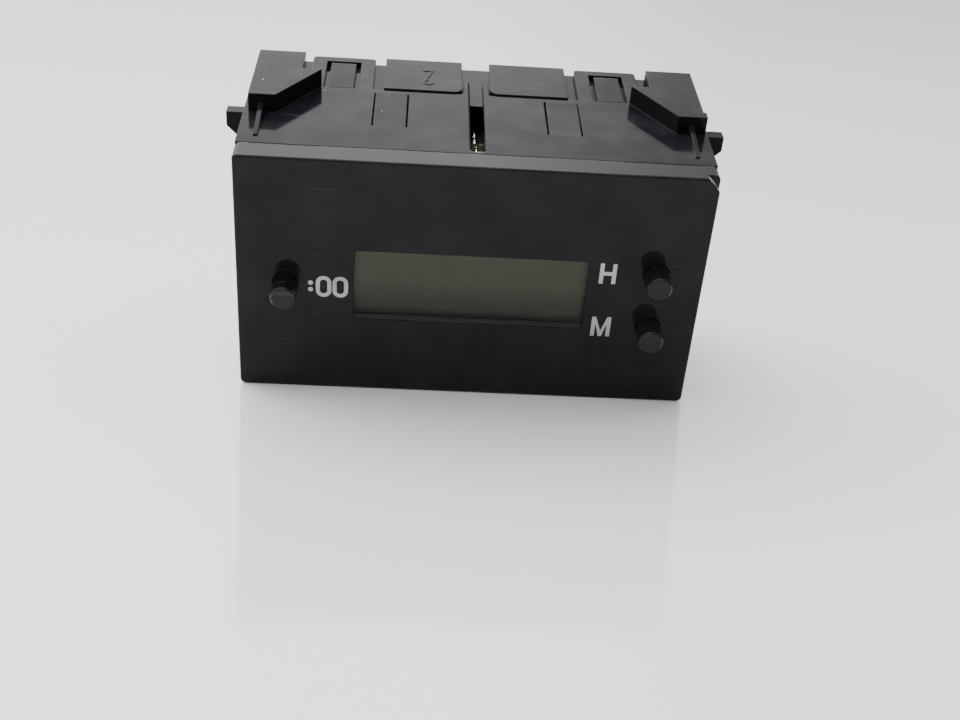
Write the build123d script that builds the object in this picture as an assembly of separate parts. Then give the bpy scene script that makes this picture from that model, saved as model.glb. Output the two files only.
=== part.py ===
"""Dashboard digital clock module: face cover, case, rear cover, display stack, boards and buttons.

Working frame: x across the face, y from the face (0) to the rear, z up from the face's bottom edge.
Stored frame: the same directions, with the origin midway between the two mounting holes, on the
front side of the mounting lugs. save() moves every piece from the working frame to the stored one.
"""
from build123d import *
import os

# Overall sizes
face_width = 92.0
face_height = 52.3
case_depth = 47.8          # face to the back of the rear cover
cover_depth = 5.4          # face to the seam
wall = 1.8                 # moulded walls of cover and case
rear_wall = 1.5
skin = 1.1                 # case wall where the rear cover slides inside it
skin_end = 32.2            # face to the case's rear edge
cover_front = 29.3         # face to the front edge of the rear cover, inside the case
cover_wall = 1.3
corner_radius = 1.0        # corners of the face outline
fit_gap = 0.1              # between pieces that slot into each other
spigot_wall = 1.2
spigot_reach = 2.0

# Broken corner of the face cover, top right
chip_width = 2.5
chip_height = 2.8

# Window and display
window_width = 46.0
window_height = 15.8
window_above_mid = -1.05   # window centre from the middle of the face
window_radius = 0.9
lens_recess = 0.12
lens_flange = 0.8
lens_margin = 2.0
seal_thickness = 0.3
polariser_thickness = 0.2
glass_thickness = 0.7
glass_margin = 1.0
contact_ledge = 3.2        # how far the front glass passes the rear glass, above and below
diffuser_thickness = 1.0
frame_border = 2.6
strip_thickness = 1.6

# Buttons
pin_diameter = 5.0
pin_gap = 0.06             # radial running clearance in the guide
pin_reach = 5.5            # stands out of the face
travel = 1.2
guide_length = 2.7
guide_wall = 1.7
flange_diameter = 7.4
flange_thickness = 1.0
button_inset = 9.6         # pin centre from the side of the face
pair_spread = 12.5         # hour pin above minute pin
pair_above_mid = -1.73
zero_above_mid = -1.5

# Switches
plunger_diameter = 3.2
plunger_gap = 0.08
plunger_length = 3.7
switch_size = 6.0
switch_depth = 3.6
switch_floor = 0.4
plunger_spare = 0.1        # left in front of the switch floor at full travel

# Boards
board_thickness = 1.6
board_margin = 1.2         # display board from the case's inner walls
power_board_drop = 7.7     # top of the case to the power board's upper side
power_board_width = 80.0
power_board_back_gap = 3.5
boss_diameter = 6.0
boss_inset = 7.0
screw_diameter = 2.2
screw_head = 4.4

# Corner blocks on top of the case
block_height = 3.8
block_front = 18.9
block_back = 40.5
block_inset = 1.0          # outer side from the side of the case
block_front_width = 5.3
block_wing_width = 13.3    # width at the end of the diagonal, at the case's rear edge
block_back_width = 9.5
block_shell = 1.6
ledge_step = 0.5           # right block only
ledge_depth = 2.4
rib_width = 0.9
rib_inset = 3.5            # middle of the rib from the side of the case
rib_front = 8.6
rib_height = 1.9

# Retaining tongues and side pegs
tongue_centre = 17.3
tongue_width = 6.4
tongue_front = 15.4
tongue_run = 14.8
tongue_rise = 0.45         # its free rear end above the top
tongue_thickness = 1.3
tongue_slit = 0.3
peg_front = 19.0
peg_depth = 2.7
peg_reach = 3.4
peg_height = 2.9
peg_drop = 0.4

# Plates of the rear cover, seen behind the case's rear edge
plate_inner = 2.9
plate_outer = 19.0
plate_rise = 0.3
plate_gap = 0.3
plate_corner = 1.8         # front corner beside the slot

# Snap loops of the case and the catches of the rear cover inside them
loop_inner = 21.2
loop_outer = 34.4
loop_bar = 2.2
loop_side = 3.0
catch_gap = 1.0
catch_back_gap = 1.7       # between the catch and the loop's bar
catch_rise = 0.35
lower_loop_inner = 8.0
loop_end_gap = 0.2         # loops and plates end this far in front of the back of the rear cover

# Centre slot in the top
slot_width = 2.7
slot_front = 6.6
slot_bevel = 0.35
slot_end_radius = 1.2
finger_width = 1.2         # skin left beside the slot between the plates
finger_end = 38.5

# Mounting lugs
lug_spacing = 72.0
lug_width = 12.0
lug_thickness = 3.0
lug_drop = 10.4            # below the bottom of the case
lug_hole = 4.2
lug_hole_drop = 5.6
gusset_width = 1.4

# Rear socket
socket_width = 24.0
socket_height = 13.4
socket_length = 18.0
socket_wall = 1.5
socket_cavity = 12.0
socket_gap = 0.2
contact_pitch = 3.6
contact_size = 0.64
contacts_per_row = 5

# Vents in the rear cover
vent_count = 5
vent_low = 8.0
vent_pitch = 3.6
vent_length = 22.0
vent_height = 1.4
vent_centre = 27.0

# Lamps and board header
lamp_diameter = 7.0
lamp_collar = 9.0
bulb_diameter = 4.2
header_pins = 8
header_pitch = 2.54
header_drop = 3.4          # header pins below the power board
header_depth = 2.5

# Chip and crystal on the rear of the display board
chip_size = 10.0
chip_rise = 0.5            # chip centre above the window centre
leads_per_side = 8
lead_pitch = 1.0
lead_width = 0.36
lead_reach = 1.3
crystal_diameter = 3.1
crystal_length = 8.2
crystal_height = 11.0      # above the bottom of the case

# Parts under the power board, from the middle and from the face
capacitor_diameter = 10.0
capacitor_length = 13.0
capacitor_place = (-24.0, 25.0)
regulator_place = (27.0, 31.0)
choke_diameter = 9.0
choke_length = 9.0
choke_place = (24.0, 22.0)
diode_x = -26.0
diode_rows = (34.0, 38.0)
resistor_x = 0.0
resistor_rows = (18.5, 21.5)

# Printed marks
print_depth = 0.04
print_stroke = 0.8
print_drop = 0.13          # middle of the marks below the middle of their pin
letter_h_width = 3.3
letter_m_width = 3.9
letter_height = 4.6
print_inset = 19.15        # letters from the right side of the face
zero_print_inset = 14.56   # colon from the left side of the face
zero_width = 3.05
zero_height = 4.77
zero_gap = 0.23

# Raised figure on the left plate
digit_width = 2.3
digit_length = 7.2
digit_stroke = 0.45
digit_rise = 0.12
digit_aside = 1.0          # from the plate's middle towards the middle of the case
digit_forward = 1.1        # from halfway between the case's rear edge and the back

# Worked-out places
half_width = face_width / 2
block_outer = half_width - block_inset
mid_z = face_height / 2
top_z = face_height
case_rear = case_depth - rear_wall
window_z = mid_z + window_above_mid
lens_back = wall + lens_flange
glass_front = lens_back + seal_thickness
glass_mid = glass_front + glass_thickness
glass_back = glass_mid + glass_thickness
diffuser_front = glass_back + polariser_thickness
diffuser_back = diffuser_front + diffuser_thickness
guide_back = wall + guide_length
flange_back = guide_back + flange_thickness
board_front = flange_back + plunger_length + travel + plunger_spare + switch_floor
board_back = board_front + board_thickness
switch_front = board_front - switch_depth
power_top = top_z - power_board_drop
power_bottom = power_top - board_thickness
lamp_places = (-window_width / 4, window_width / 4)
header_places = [(i - (header_pins - 1) / 2) * header_pitch for i in range(header_pins)]
header_z = power_bottom - header_drop
header_bend = board_back + header_depth + 1.4
power_front = board_back + 2.0
power_back = case_rear - power_board_back_gap
chip_z = window_z + chip_rise
socket_z = power_bottom - socket_height / 2
socket_back = case_depth + 0.4
socket_front = socket_back - socket_length
contact_places = [
    ((i - (contacts_per_row - 1) / 2) * contact_pitch, socket_z + side * 2.4)
    for i in range(contacts_per_row)
    for side in (-1, 1)
]
lug_x = lug_spacing / 2
lug_front = case_depth - lug_thickness
datum = Vector(0, lug_front, -lug_hole_drop)
buttons = {
    "zero": (-(half_width - button_inset), mid_z + zero_above_mid),
    "hour": (half_width - button_inset, mid_z + pair_above_mid + pair_spread / 2),
    "minute": (half_width - button_inset, mid_z + pair_above_mid - pair_spread / 2),
}
boss_places = [
    (side * (half_width - boss_inset), z)
    for side in (-1, 1)
    for z in (boss_inset, face_height - boss_inset)
]

os.makedirs("parts", exist_ok=True)


def save(name, shape):
    """Moves a piece to the stored frame and writes it."""
    export_step(shape.moved(Location(-datum)), f"parts/{name}.step")


def block(x0, x1, y0, y1, z0, z1):
    """A box between two corners."""
    return Pos((x0 + x1) / 2, (y0 + y1) / 2, (z0 + z1) / 2) * Box(x1 - x0, y1 - y0, z1 - z0)


def panel(width, height, y0, y1, z, radius=0.0, x=0.0):
    """A plate parallel to the face, centred at x and z, with rounded corners."""
    outline = RectangleRounded(width, height, radius) if radius else Rectangle(width, height)
    return extrude(Plane((x, y0, z), x_dir=(1, 0, 0), z_dir=(0, 1, 0)) * outline, y1 - y0)


def rod(x, z, y0, y1, diameter):
    """A round bar along y."""
    return extrude(Plane((x, y0, z), x_dir=(1, 0, 0), z_dir=(0, 1, 0)) * Circle(diameter / 2), y1 - y0)


def post(x, y, z0, z1, diameter):
    """A round bar along z."""
    return Pos(x, y, (z0 + z1) / 2) * Cylinder(diameter / 2, z1 - z0)


def bar(x0, x1, y, z, diameter):
    """A round bar along x."""
    return Pos((x0 + x1) / 2, y, z) * Rot(0, 90, 0) * Cylinder(diameter / 2, x1 - x0)


def side_profile(points, x0, x1):
    """A prism along x from (y, z) points."""
    outline = make_face(Polyline(*[(x0, y, z) for y, z in points], close=True))
    return extrude(outline, amount=x1 - x0, dir=(1, 0, 0))


def plan_profile(points, z0, z1):
    """A prism along z from (x, y) points."""
    outline = make_face(Polyline(*[(x, y, z0) for x, y in points], close=True))
    return extrude(outline, amount=z1 - z0, dir=(0, 0, 1))


def front_profile(points, y0, y1):
    """A prism along y from (x, z) points."""
    outline = make_face(Polyline(*[(x, y0, z) for x, z in points], close=True))
    return extrude(outline, amount=y1 - y0, dir=(0, 1, 0))


def both_sides(piece):
    """The piece and its mirror image across the middle of the face."""
    return piece + mirror(piece, about=Plane.YZ)


def tube(inset, thickness, y0, y1):
    """A rectangular sleeve that follows the case outline at an inset."""
    outer = panel(face_width - 2 * inset, face_height - 2 * inset, y0, y1, mid_z)
    hollow = 2 * (inset + thickness)
    return outer - panel(face_width - hollow, face_height - hollow, y0 - 1, y1 + 1, mid_z)


def make_face_cover():
    """Front shell with window, button guides, screw bosses and the broken top right corner."""
    cover = panel(face_width, face_height, 0, cover_depth, mid_z, corner_radius)
    front_edges = cover.faces().sort_by(Axis.Y)[0].edges()
    cover = fillet(front_edges, min(0.5, corner_radius / 2))
    inner_width = face_width - 2 * wall
    inner_height = face_height - 2 * wall
    cover -= panel(inner_width, inner_height, wall, cover_depth + 1, mid_z)
    for x, z in boss_places:
        cover += rod(x, z, wall, board_front, boss_diameter)
    for x, z in buttons.values():
        cover += rod(x, z, wall, guide_back, pin_diameter + 2 * (pin_gap + guide_wall))
    for x, z in boss_places:
        cover -= rod(x, z, board_front - 7, board_front + 1, screw_diameter)
    for x, z in buttons.values():
        cover -= rod(x, z, -1, guide_back + 1, pin_diameter + 2 * pin_gap)
    cover -= panel(window_width, window_height, -1, wall + 1, window_z, window_radius)
    chip = front_profile(
        [
            (half_width - chip_width, top_z + 1),
            (half_width - chip_width, top_z),
            (half_width - 0.42 * chip_width, top_z - 0.5 * chip_height),
            (half_width, top_z - chip_height),
            (half_width + 1, top_z - chip_height),
            (half_width + 1, top_z + 1),
        ],
        -1,
        wall,
    )
    return cover - chip


def make_window_lens():
    """Smoked lens: a flange behind the cover and a raised pane in its opening."""
    margin = 2 * lens_margin
    lens = panel(window_width + margin, window_height + margin, wall, lens_back, window_z, 1.5)
    pane_width = window_width - 2 * fit_gap
    pane_height = window_height - 2 * fit_gap
    return lens + panel(pane_width, pane_height, lens_recess, wall, window_z, window_radius - fit_gap)


def make_light_seal():
    """Foam frame between the lens and the display glass."""
    outer = panel(window_width + 2, window_height + 3.6, lens_back, glass_front, window_z)
    return outer - panel(window_width + 0.4, window_height + 0.4, 0, glass_front + 1, window_z)


def make_button(x, z):
    """Push pin with a rounded tip and the flange that keeps it in its guide."""
    pin = rod(x, z, -pin_reach, guide_back, pin_diameter)
    pin = chamfer(pin.faces().sort_by(Axis.Y)[0].edges(), 0.3)
    return pin + rod(x, z, guide_back, flange_back, flange_diameter)


def make_plunger(x, z):
    """Switch plunger that follows the button."""
    plunger = rod(x, z, flange_back, flange_back + plunger_length, plunger_diameter)
    return chamfer(plunger.faces().sort_by(Axis.Y)[-1].edges(), 0.2)


def make_switch_body(x, z):
    """Switch housing with the plunger's bore."""
    body = panel(switch_size, switch_size, switch_front, board_front, z, 0.5, x)
    bore = plunger_diameter + 2 * plunger_gap
    return body - rod(x, z, switch_front - 1, board_front - switch_floor, bore)


def make_display_frame():
    """Holder for the display glass, with a light box behind it and slots for the contact strips."""
    glass_width = window_width + 2 * glass_margin
    outer_width = glass_width + 2 * frame_border
    outer_height = window_height + 2 * (contact_ledge + frame_border)
    holder = panel(outer_width, outer_height, lens_back + 0.2, board_front, window_z, 1.0)
    front_height = window_height + 2 * contact_ledge
    pocket = glass_width + 2 * fit_gap
    holder -= panel(pocket, front_height + 2 * fit_gap, 0, glass_mid, window_z)
    rear_height = window_height + 0.8 + 2 * fit_gap
    holder -= panel(pocket, rear_height, glass_mid - 0.1, diffuser_back, window_z)
    holder -= panel(window_width, window_height, diffuser_back - 0.1, board_front + 1, window_z)
    slot = strip_thickness + 2 * fit_gap
    for side in (-1, 1):
        strip_z = window_z + side * (front_height - strip_thickness) / 2
        holder -= panel(window_width - 1.6, slot, glass_mid - 0.1, board_front + 1, strip_z)
    return holder


def make_display_board():
    """Board behind the display, with holes for lamps, screws and header pins."""
    width = face_width - 2 * (wall + board_margin)
    height = face_height - 2 * (wall + board_margin)
    board = panel(width, height, board_front, board_back, mid_z, 1.0)
    for x, z in boss_places:
        board -= rod(x, z, 0, case_depth, screw_diameter + 0.4)
    for x in lamp_places:
        board -= rod(x, window_z, 0, case_depth, lamp_diameter + 2 * fit_gap)
    for x in header_places:
        hole = contact_size + 0.2
        board -= panel(hole, hole, 0, case_depth, header_z, x=x)
    return board


def make_corner_block():
    """Right corner block: upright front, a diagonal wing towards the middle, and a long low rib in front.

    Behind the case's rear edge it runs on over the rear cover.
    """
    outer = block_outer
    outline = [
        (outer, block_front),
        (outer - block_front_width, block_front),
        (outer - block_wing_width, skin_end),
        (outer - block_back_width, skin_end),
        (outer - block_back_width, block_back),
        (outer, block_back),
    ]
    solid = plan_profile(outline, top_z - skin, top_z + block_height)
    rib_x = half_width - rib_inset - rib_width / 2
    rib = [
        (rib_front, top_z - 0.2),
        (rib_front, top_z + 0.25),
        (block_front + 0.2, top_z + rib_height),
        (block_front + 0.2, top_z - 0.2),
    ]
    return solid + side_profile(rib, rib_x, rib_x + rib_width)


def make_block_hollow():
    """Space inside the right corner block, open to the case, up to the front of the rear cover."""
    front = block_front + block_shell
    back = cover_front - block_shell
    slope = (block_wing_width - block_front_width) / (skin_end - block_front)
    inner = block_outer - block_front_width + block_shell
    outer = block_outer - block_shell
    points = [(outer, front), (inner, front), (inner - (back - front) * slope, back), (outer, back)]
    return plan_profile(points, top_z - wall - 1, top_z + block_height - block_shell)


def make_tongue_opening():
    """Opening around the right retaining tongue: a slit on each side and one behind it."""
    half = tongue_width / 2 + tongue_slit
    back = tongue_front + tongue_run + tongue_slit
    return block(tongue_centre - half, tongue_centre + half, tongue_front, back, top_z - wall - 1, top_z + 1)


def make_tongue():
    """Right retaining tongue: rooted in the top at its front, free at its slightly raised rear end."""
    end = tongue_front + tongue_run
    profile = [
        (tongue_front - 0.6, top_z - tongue_thickness),
        (tongue_front - 0.6, top_z),
        (tongue_front, top_z),
        (end, top_z + tongue_rise),
        (end, top_z + tongue_rise - tongue_thickness),
        (tongue_front, top_z - tongue_thickness),
    ]
    return side_profile(profile, tongue_centre - tongue_width / 2, tongue_centre + tongue_width / 2)


def make_peg():
    """Right side peg with a sloping underside."""
    side = half_width
    high = top_z - peg_drop
    low = high - peg_height
    profile = [
        (side - 1, high),
        (side + peg_reach, high),
        (side + peg_reach, low),
        (side, low - peg_reach),
        (side - 1, low - peg_reach),
    ]
    return front_profile(profile, peg_front, peg_front + peg_depth)


def make_catch(inner, surface, direction):
    """Snap catch inside the loop that starts at x = inner: a ramp that rises to the rear.

    direction is 1 on top and -1 underneath.
    """
    x0 = inner + loop_side + catch_gap
    x1 = inner + (loop_outer - loop_inner) - loop_side - catch_gap
    front = skin_end + fit_gap
    back = case_depth - loop_end_gap - loop_bar - catch_back_gap
    inside = surface - direction * (skin + fit_gap + 0.5)
    profile = [
        (front, inside),
        (front, surface),
        (back, surface + direction * catch_rise),
        (back, inside),
    ]
    return side_profile(profile, x0, x1)


def make_lug():
    """Right mounting lug: a flat ear under the rear cover, with a screw hole and two gussets."""
    low = -lug_drop
    root = skin + fit_gap + cover_wall
    ear = panel(lug_width, lug_drop + root, lug_front, case_depth, (low + root) / 2, x=lug_x)
    ear = fillet(ear.edges().filter_by(Axis.Y).group_by(Axis.Z)[0], 1.2)
    gusset = [
        (lug_front - 6, root),
        (lug_front - 6, skin),
        (lug_front, low + 2.5),
        (lug_front + 1, low + 2.5),
        (lug_front + 1, root),
    ]
    for x in (lug_x - lug_width / 2, lug_x + lug_width / 2 - gusset_width):
        ear += side_profile(gusset, x, x + gusset_width)
    return ear - rod(lug_x, -lug_hole_drop, 0, case_depth + 1, lug_hole)


def make_centre_slot():
    """Slot in the top of the case, open at its rear end, with a bevelled rim."""
    half = slot_width / 2
    cut = block(-half, half, slot_front, case_depth, top_z - wall - 1, top_z + 1)
    cut = fillet(cut.edges().filter_by(Axis.Z).group_by(Axis.Y)[0], slot_end_radius)
    rim = cut.faces().sort_by(Axis.Z)[-1].moved(Location((0, 0, -1 - slot_bevel)))
    return cut + extrude(rim, slot_bevel + 0.01, dir=(0, 0, 1), taper=-45)


def make_board_rails(inner, front, back):
    """Grooved rails on both side walls, whose inner faces are at x = inner, for the power board."""
    reach = inner - power_board_width / 2 + 2.0
    groove = block(
        inner - reach - 1, power_board_width / 2 + fit_gap, 0, case_depth,
        power_bottom - fit_gap, power_top + fit_gap,
    )
    rail = block(inner - reach, inner + 0.5, front, back, power_bottom - 1.5, power_top + 1.5)
    return both_sides(rail - groove)


def make_loop(inner, surface, direction):
    """Right snap loop of the case: two arms and a bar that run on from its rear edge."""
    width = loop_outer - loop_inner
    near, far = sorted((surface, surface - direction * skin))
    back = case_depth - loop_end_gap
    plate = block(inner, inner + width, skin_end - 1, back, near, far)
    plate = fillet(plate.edges().filter_by(Axis.Z).group_by(Axis.Y)[-1], 0.9)
    return plate - block(
        inner + loop_side, inner + width - loop_side, skin_end, back - loop_bar, near - 1, far + 1)


def make_main_case():
    """Sleeve behind the face cover, with everything that is moulded onto it."""
    case = tube(0, wall, cover_depth, cover_front - 0.5)
    case = chamfer(case.faces().sort_by(Axis.Y)[0].outer_wire().edges(), 0.25)
    case += tube(0, skin, cover_front - 1, skin_end)
    case += block(-slot_width / 2 - finger_width, slot_width / 2 + finger_width,
                  skin_end - 1, finger_end, top_z - skin, top_z)
    case += both_sides(make_corner_block())
    case += block(block_outer - 1, block_outer + ledge_step, block_front, block_front + ledge_depth,
                  top_z - skin, top_z + block_height)
    case -= both_sides(make_block_hollow())
    case += tube(wall + fit_gap, spigot_wall, cover_depth - spigot_reach, cover_depth + 2)
    case += tube(wall - 0.5, 1, cover_depth + 0.5, cover_depth + 2)
    case -= both_sides(make_tongue_opening())
    case += both_sides(make_tongue())
    case += both_sides(make_peg())
    case += both_sides(make_loop(loop_inner, top_z, 1))
    case += both_sides(make_loop(lower_loop_inner, 0, -1))
    case += make_board_rails(half_width - wall, board_back + 2, cover_front - 2)
    return case - make_centre_slot()


def make_plate():
    """Right plate of the rear cover, standing just above the case behind its rear edge."""
    front = skin_end + plate_gap
    low = top_z - skin - fit_gap - 0.5
    plate = block(plate_inner, plate_outer, front, case_depth - loop_end_gap, low, top_z + plate_rise)
    front_corners = plate.edges().filter_by(Axis.Z).group_by(Axis.Y)[0].sort_by(Axis.X)
    plate = fillet(front_corners[0], plate_corner)
    outer_corner = plate.edges().filter_by(Axis.Z).group_by(Axis.Y)[0].sort_by(Axis.X)[-1]
    return fillet(outer_corner, 0.3)


def make_digit():
    """Raised figure 2 on the left plate, read from behind."""
    stroke, half, tall = digit_stroke, digit_width / 2, digit_length
    centre = digit_aside - (plate_inner + plate_outer) / 2
    middle = (skin_end + case_depth) / 2 - digit_forward
    low, high = top_z + plate_rise - 0.1, top_z + plate_rise + digit_rise
    bow = Pos(centre, middle + tall / 2 - half) * (Circle(half) - Circle(half - stroke))
    bow -= Pos(centre - half, middle + tall / 2 - 2 * half - 1) * Rectangle(half * 2, 2 * half + 2)
    base = Pos(centre, middle - tall / 2 + stroke / 2) * Rectangle(2 * half, stroke)
    run = Polyline(
        (centre + half, middle + tall / 2 - half),
        (centre + half - stroke, middle + tall / 2 - half),
        (centre - half, middle - tall / 2),
        (centre - half + stroke, middle - tall / 2),
        close=True,
    )
    outline = bow + base + make_face(run)
    figure = extrude(Pos(0, 0, low) * outline, high - low)
    turn = Pos(centre, middle) * Rot(0, 0, 180) * Pos(-centre, -middle)
    return turn * figure


def make_rear_cover():
    """Tray that slides into the case, with plates, catches, lugs, socket opening and vents."""
    inset = skin + fit_gap
    cover = tube(inset, cover_wall, cover_front, case_depth - 0.5)
    back = panel(face_width - 2 * inset, face_height - 2 * inset, case_rear, case_depth, mid_z, corner_radius)
    cover += chamfer(back.faces().sort_by(Axis.Y)[-1].edges(), 0.4)
    cover += both_sides(make_plate())
    cover += both_sides(make_catch(loop_inner, top_z, 1))
    cover += both_sides(make_catch(lower_loop_inner, 0, -1))
    cover += both_sides(make_lug())
    cover += make_digit()
    cover += make_board_rails(half_width - inset - cover_wall, cover_front + 1, power_back - 1)
    gap = 2 * socket_gap
    cover -= panel(socket_width + gap, socket_height + gap, case_rear - 1, case_depth + 1, socket_z)
    for side in (-1, 1):
        for i in range(vent_count):
            z = vent_low + i * vent_pitch
            cover -= panel(vent_length, vent_height, case_rear - 1, case_depth + 1, z,
                           vent_height / 2 - 0.01, side * vent_centre)
    return cover


def make_power_board():
    """Board under the top of the case, carried on the rails."""
    half = power_board_width / 2
    board = block(-half, half, power_front, power_back, power_bottom, power_top)
    hole = (contact_size + 0.2) / 2
    for x in header_places:
        board -= block(x - hole, x + hole, header_bend - hole, header_bend + hole, 0, top_z)
    return board


def make_header_block():
    """Insulator of the angled header between the two boards."""
    half = header_pins * header_pitch / 2
    body = block(
        -half, half, board_back, board_back + header_depth,
        header_z - header_pitch / 2, header_z + header_pitch / 2,
    )
    hole = contact_size / 2
    for x in header_places:
        body -= block(x - hole, x + hole, 0, case_depth, header_z - hole, header_z + hole)
    return body


def make_header_pins():
    """Angled pins: along y through the display board, then up through the power board."""
    half = contact_size / 2
    pins = []
    for x in header_places:
        level = block(x - half, x + half, board_front - 0.8, header_bend + half,
                      header_z - half, header_z + half)
        upright = block(x - half, x + half, header_bend - half, header_bend + half,
                        header_z - half, power_top + 0.9)
        pins.append(level + upright)
    return Compound(children=pins)


def make_socket_housing():
    """Socket body with its cavity open to the rear and a keyway at the top."""
    housing = panel(socket_width, socket_height, socket_front, socket_back, socket_z, 0.6)
    inner_width = socket_width - 2 * socket_wall
    inner_height = socket_height - 2 * socket_wall
    cavity_front = socket_back - socket_cavity
    housing -= panel(inner_width, inner_height, cavity_front, socket_back + 1, socket_z)
    housing -= block(-2, 2, cavity_front + 3, socket_back + 1, socket_z, power_bottom - 0.5)
    half = contact_size / 2
    for x, z in contact_places:
        housing -= block(x - half, x + half, 0, socket_back, z - half, z + half)
    return housing


def make_socket_contacts():
    """Two rows of contacts that turn up to the power board in front of the socket."""
    half = contact_size / 2
    contacts = []
    for x, z in contact_places:
        bend = socket_front - (1.2 if z > socket_z else 3.7)
        level = block(x - half, x + half, bend - half, socket_back - 3, z - half, z + half)
        upright = block(x - half, x + half, bend - half, bend + half, z - half, power_bottom)
        contacts.append(level + upright)
    return Compound(children=contacts)


def make_chip():
    """Clock chip body on the rear of the display board."""
    body = panel(chip_size, chip_size, board_back + 0.2, board_back + 2.2, chip_z, 0.3)
    return chamfer(body.faces().sort_by(Axis.Y)[-1].edges(), 0.25)


def make_chip_leads():
    """Stepped leads along all four sides of the chip."""
    leads = []
    for i in range(leads_per_side):
        along = (i - (leads_per_side - 1) / 2) * lead_pitch
        for side in (-1, 1):
            arm = sorted((side * chip_size / 2, side * (chip_size / 2 + lead_reach)))
            foot = sorted((side * (chip_size / 2 + 0.6), side * (chip_size / 2 + lead_reach + 0.3)))
            low, high = along - lead_width / 2, along + lead_width / 2
            leads.append(
                block(*arm, board_back + 1.0, board_back + 1.2, chip_z + low, chip_z + high)
                + block(*foot, board_back, board_back + 1.1, chip_z + low, chip_z + high)
            )
            leads.append(
                block(low, high, board_back + 1.0, board_back + 1.2, chip_z + arm[0], chip_z + arm[1])
                + block(low, high, board_back, board_back + 1.1, chip_z + foot[0], chip_z + foot[1])
            )
    return Compound(children=leads)


def make_crystal():
    """Can of the timing crystal, lying along x."""
    y = board_back + crystal_diameter / 2
    can = bar(-crystal_length / 2, crystal_length / 2, y, crystal_height, crystal_diameter)
    return can + bar(crystal_length / 2, crystal_length / 2 + 2, y, crystal_height, 0.6)


def make_lamp_holder(x):
    """Twist-in lamp holder: a collar behind the board and a sleeve through it."""
    holder = rod(x, window_z, board_back, board_back + 1.6, lamp_collar)
    holder += panel(lamp_collar - 2, 1.4, board_back + 1.6, board_back + 3.4, window_z, x=x)
    holder += rod(x, window_z, board_front - 1.2, board_back, lamp_diameter)
    return holder - rod(x, window_z, 0, board_front + 0.7, bulb_diameter + 0.2)


def make_bulb(x):
    """Glass bulb with a round end."""
    radius = bulb_diameter / 2
    centre = diffuser_back + 0.5 + radius
    return rod(x, window_z, centre, board_front + 0.6, bulb_diameter) + Pos(x, centre, window_z) * Sphere(radius)


def make_screws(places, seat, length):
    """Pan-head screws along y, one for each place, with a cross recess."""
    screws = []
    for x, z in places:
        head = rod(x, z, seat, seat + 1.6, screw_head)
        head = fillet(head.faces().sort_by(Axis.Y)[-1].edges(), 0.6)
        head -= panel(2.2, 0.5, seat + 0.9, seat + 2, z, x=x)
        head -= panel(0.5, 2.2, seat + 0.9, seat + 2, z, x=x)
        screws.append(head + rod(x, z, seat - length, seat, screw_diameter - 0.06))
    return Compound(children=screws)


def make_axial(x, y, body_length, body_diameter, span):
    """A component lying along x under the power board, with both leads bent up to it."""
    z = power_bottom - body_diameter / 2 - 0.3
    body = bar(x - body_length / 2, x + body_length / 2, y, z, body_diameter)
    leads = []
    for side in (-1, 1):
        inner, outer = x + side * body_length / 2, x + side * span / 2
        near, far = sorted((inner, outer + side * 0.2))
        leads.append(bar(near, far, y, z, 0.56) + post(outer, y, z - 0.35, power_bottom, 0.6))
    return body + leads[0] + leads[1]


def make_capacitor():
    """Smoothing capacitor hanging under the power board, with a grooved can."""
    x, y = capacitor_place
    low = power_bottom - 0.4 - capacitor_length
    can = post(x, y, low, power_bottom - 0.4, capacitor_diameter)
    can = fillet(can.edges().filter_by(GeomType.CIRCLE), 0.7)
    groove = post(x, y, low + 1.8, low + 2.4, capacitor_diameter + 1)
    groove -= post(x, y, low + 1.7, low + 2.5, capacitor_diameter - 0.6)
    can -= groove
    for side in (-1, 1):
        can += post(x + side * 2.5, y, power_bottom - 0.6, power_bottom, 0.6)
    return can


def make_regulator():
    """Voltage regulator hanging from its three leads, tab to the rear."""
    x, y = regulator_place
    low = power_bottom - 4 - 9
    body = block(x - 5, x + 5, y, y + 3.2, low, low + 9)
    tab = block(x - 5, x + 5, y + 3.2, y + 4.5, low - 6, low + 9) - rod(x, low - 3.2, 0, case_depth, 3.6)
    regulator = body + tab
    for i in (-1, 0, 1):
        regulator += block(x + 2.54 * i - 0.4, x + 2.54 * i + 0.4, y + 1.4, y + 2.2, low + 8, power_bottom)
    return regulator


def make_choke_core():
    """Drum core of the filter choke."""
    x, y = choke_place
    low = power_bottom - 0.4 - choke_length
    core = post(x, y, low, power_bottom - 0.4, choke_diameter)
    neck = post(x, y, low + 1.2, power_bottom - 1.6, choke_diameter + 1)
    return core - (neck - post(x, y, low, power_bottom, choke_diameter - 4))


def make_choke_winding():
    """Wire wound on the choke's neck, drawn as its outer form."""
    x, y = choke_place
    low = power_bottom - 0.4 - choke_length
    outer = post(x, y, low + 1.2, power_bottom - 1.6, choke_diameter - 1)
    return outer - post(x, y, low, power_bottom, choke_diameter - 4)


def make_letter_h(x, z):
    """Printed letter H."""
    aside = (letter_h_width - print_stroke) / 2
    letter = panel(letter_h_width - 0.1, print_stroke, -print_depth, 0, z, x=x)
    for side in (-1, 1):
        letter += panel(print_stroke, letter_height, -print_depth, 0, z, x=x + side * aside)
    return letter


def make_letter_m(x, z):
    """Printed letter M."""
    half, tall = letter_m_width / 2, letter_height / 2
    inner = half - print_stroke
    right = [(0.35, -tall), (inner, tall - 1.5), (inner, -tall), (half, -tall), (half, tall), (inner, tall)]
    left = [(-a, b) for a, b in reversed(right)]
    outline = right + [(0, 1.3 - tall)] + left
    return front_profile([(x + a, z + b) for a, b in outline], -print_depth, 0)


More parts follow.
